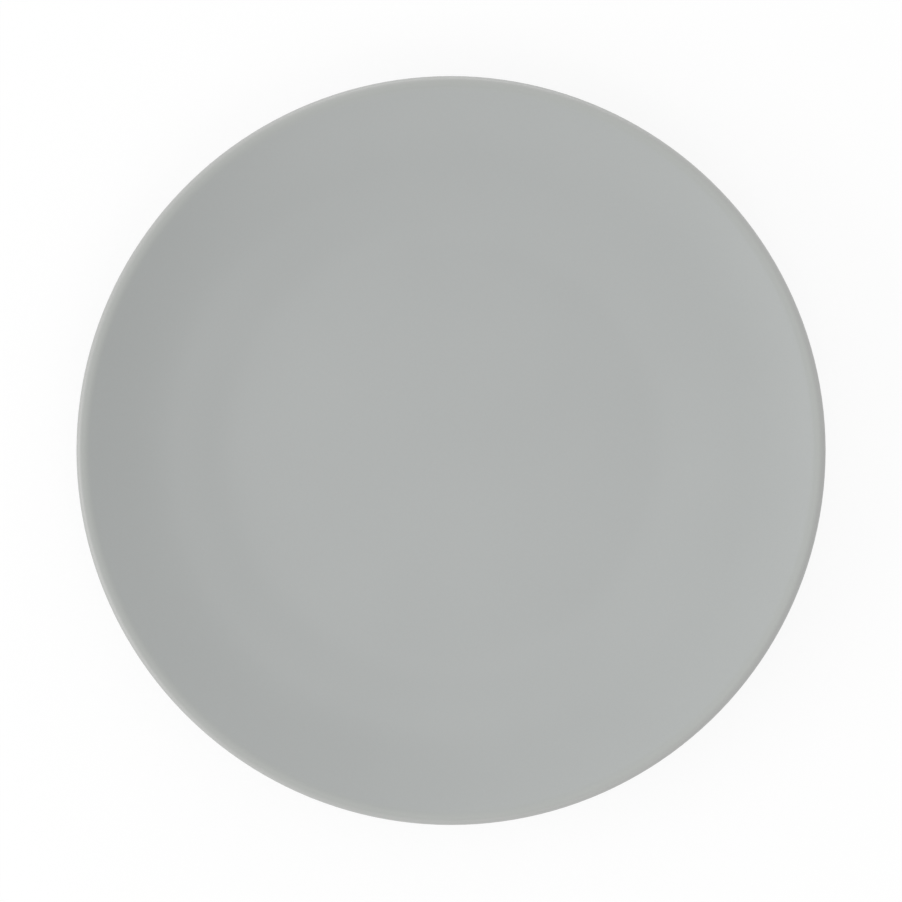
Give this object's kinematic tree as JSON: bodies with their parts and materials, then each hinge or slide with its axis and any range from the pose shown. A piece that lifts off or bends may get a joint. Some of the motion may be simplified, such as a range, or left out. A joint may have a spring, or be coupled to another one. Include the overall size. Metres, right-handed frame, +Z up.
{
  "type": "breakfast plate",
  "caption": "Round coupe plate in grey glazed stoneware, with a flat well, a sweeping wall, a soft lip and a low foot ring that it stands on and stacks by.",
  "frame": {"origin": "centre of the foot ring, on the surface that the plate stands on", "axes": "+Z up along the plate's own axis; the plate is round, so +X and +Y are any two level directions square to each other"},
  "size_m": [0.22, 0.22, 0.02],
  "materials": {
    "bare_clay": "matte",
    "glaze": "satin"
  },
  "bodies": {
    "root": {"plate_body": "bare_clay", "glaze_coat": "glaze", "base_glaze": "glaze"}
  },
  "joints": []
}
